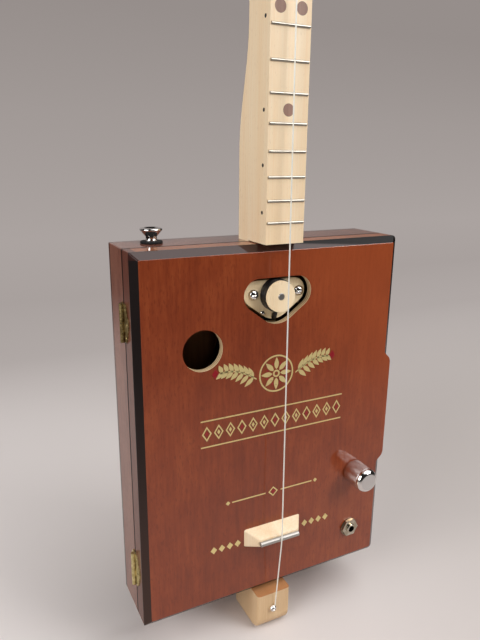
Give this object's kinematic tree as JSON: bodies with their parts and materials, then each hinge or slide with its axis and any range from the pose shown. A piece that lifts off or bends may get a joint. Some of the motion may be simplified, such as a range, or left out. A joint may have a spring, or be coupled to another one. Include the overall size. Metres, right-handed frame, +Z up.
{
  "type": "cigar box guitar",
  "caption": "One-string fretted guitar with a hinged wooden box body, through neck, round pickup, volume knob, jack and geared tuner.",
  "frame": {"origin": "middle of the tail block's flat foot, on which the guitar is stood upright", "axes": "+Z up the neck to the headstock, -Y the way the lid and string face, +X to the player's right of the upright guitar seen from the front"},
  "size_m": [0.2563, 0.0873, 1.0841],
  "materials": {
    "lid_mahogany": "glossy lacquer over reddish-brown mahogany",
    "box_mahogany": "glossy lacquer, mauve-brown sides",
    "back_mahogany": "satin lacquer",
    "maple": "satin oiled maple",
    "bridge_maple": "satin oiled maple",
    "inner_pine": "bare",
    "birch_ply": "bare birch",
    "dot_walnut": "brown inlay",
    "dot_black": "black",
    "fret_nickel": "polished nickel silver",
    "bright_nickel": "polished",
    "steel": "dull steel",
    "string_steel": "plain wire",
    "brass": "aged brass",
    "gear_brass": "cut brass",
    "bone": "polished bone",
    "black_tape": "cloth tape",
    "black_lead": "taped lead",
    "magnet": "ceramic magnet",
    "felt": "black felt",
    "pot_case": "plated case"
  },
  "bodies": {
    "frame": {"tray_left_wall": "box_mahogany", "tray_right_wall": "box_mahogany", "tray_top_wall": "box_mahogany", "tray_bottom_wall": "box_mahogany", "back_panel": "back_mahogany", "neck": "maple", "through_beam": "inner_pine", "tail_block": "maple", "frets": "fret_nickel", "face_dots": "dot_walnut", "side_dots": "dot_black", "nut": "bone", "string": "string_steel", "string_turns": "string_steel", "anchor_screw": "bright_nickel", "pickup_riser": "inner_pine", "pickup_magnet": "magnet", "pickup_plate": "birch_ply", "pickup_coil": "black_tape", "pickup_disc": "birch_ply", "pickup_pole": "steel", "pickup_screws": "bright_nickel", "pickup_lead_screw": "steel", "pickup_lead": "black_lead", "volume_lead": "black_lead", "strap_buttons": "bright_nickel", "strap_felts": "felt", "strap_screws": "bright_nickel", "upper_hinge_tray_leaf": "brass", "lower_hinge_tray_leaf": "brass", "tray_hinge_nails": "brass", "hinge_pins": "brass", "tuner_plate": "bright_nickel", "tuner_screws": "bright_nickel", "tuner_bushing": "bright_nickel"},
    "lid": {"lid_panel": "lid_mahogany", "lid_left_rim": "box_mahogany", "lid_right_rim": "box_mahogany", "lid_top_rim": "box_mahogany", "lid_bottom_rim": "box_mahogany", "upper_hinge_lid_leaf": "brass", "lower_hinge_lid_leaf": "brass", "lid_hinge_nails": "brass", "bridge_block": "bridge_maple", "bridge_rod": "bright_nickel", "pot_body": "pot_case", "pot_washer": "bright_nickel", "pot_nut": "bright_nickel", "jack_body": "bright_nickel", "jack_springs": "steel", "jack_washer": "bright_nickel", "jack_nut": "bright_nickel", "jack_lead": "black_lead"},
    "volume_knob": {"knob": "bright_nickel", "knob_set_screw": "steel", "pot_shaft": "steel"},
    "worm_and_key": {"tuner_worm": "bright_nickel", "tuner_key": "bright_nickel"},
    "post_and_gear": {"tuner_post": "bright_nickel", "tuner_gear": "gear_brass"}
  },
  "joints": [
    {"name": "lid_hinge", "type": "hinge", "parent": "frame", "child": "lid", "pos_m": [-0.1276, 0.0005, 0.2085], "axis": [0, 0, -1], "range_deg": [0, 105], "deforming": ["string", "volume_lead"]},
    {"name": "knob_turn", "type": "hinge", "parent": "lid", "child": "volume_knob", "pos_m": [0.0905, -0.0225, 0.145], "axis": [0, -1, 0], "range_deg": [-150, 150]},
    {"name": "key_turn", "type": "hinge", "parent": "frame", "child": "worm_and_key", "pos_m": [-0.00365, 0.0022, 1.04365], "axis": [1, 0, 0], "continuous": true},
    {"name": "post_turn", "type": "hinge", "parent": "frame", "child": "post_and_gear", "pos_m": [-0.00365, -0.0025, 1.0361], "axis": [0, -1, 0], "continuous": true}
  ],
  "couplings": [
    {"joint": "post_turn", "follows": "key_turn", "ratio": 0.071429}
  ]
}
